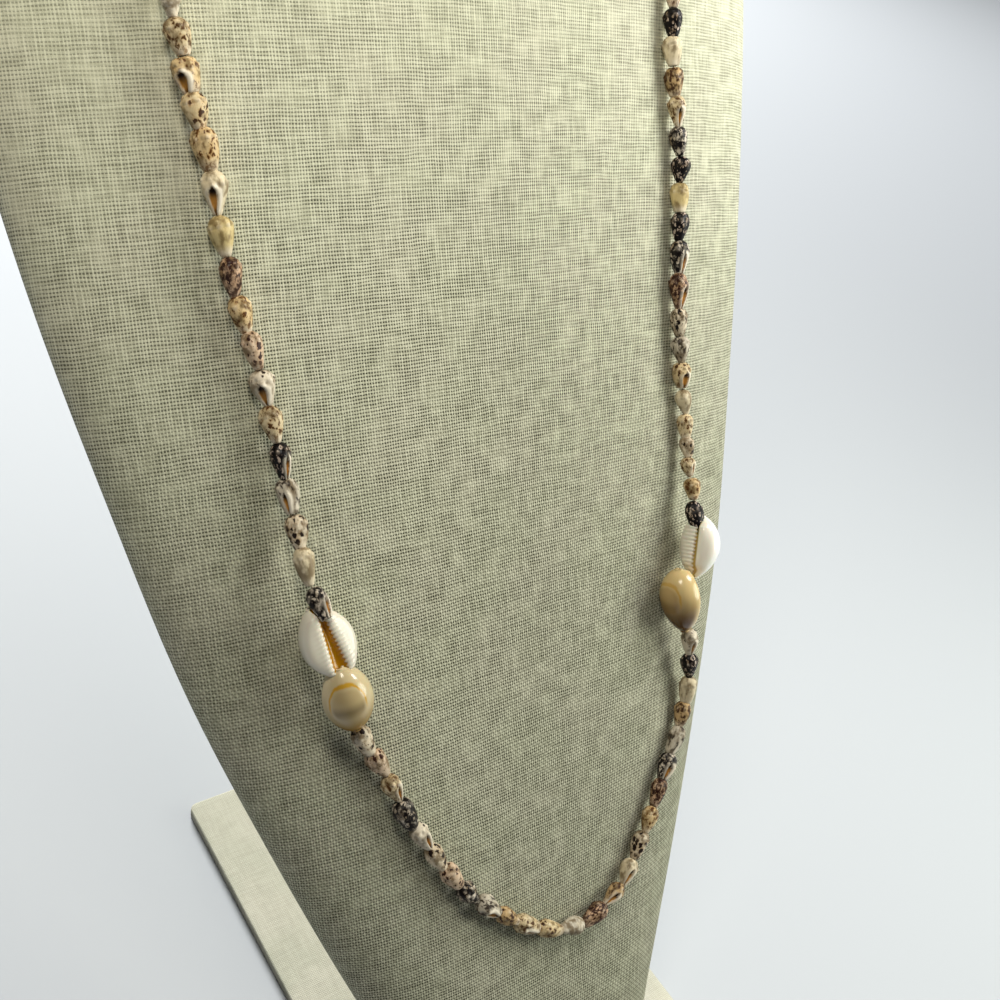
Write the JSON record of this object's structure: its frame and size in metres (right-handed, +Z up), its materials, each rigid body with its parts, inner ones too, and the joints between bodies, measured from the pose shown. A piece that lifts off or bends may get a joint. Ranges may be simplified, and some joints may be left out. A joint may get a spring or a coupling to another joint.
{
  "type": "cowrie shell necklace on a neck bust",
  "caption": "Long strung necklace of small shells with two pairs of cowries, worn by a linen-covered neck bust that leans back on a flat base plate.",
  "frame": {"origin": "middle of the base plate's underside, on the surface that the bust stands on", "axes": "+Z up, the front of the bust towards -Y, +X to the right of a viewer in front of it"},
  "size_m": [0.246, 0.2811, 0.4294],
  "materials": {
    "linen": "plain weave, matt",
    "plate_linen": "pale cloth on a board, matt",
    "string": "waxed thread",
    "small_shell": "satin shell with dark spots, bands and networks",
    "cowrie_white": "polished white shell with a golden slit",
    "cowrie_gold": "polished cream shell with a golden ring",
    "clasp_metal": "polished, slightly worn"
  },
  "bodies": {
    "root": {"base_plate": "plate_linen", "neck_bust": "linen", "thread": "string", "clasp": "clasp_metal", "shells_left": "small_shell", "shells_right": "small_shell", "cowrie_left_upper": "cowrie_white", "cowrie_left_lower": "cowrie_gold", "cowrie_right_upper": "cowrie_white", "cowrie_right_lower": "cowrie_gold"}
  },
  "joints": []
}
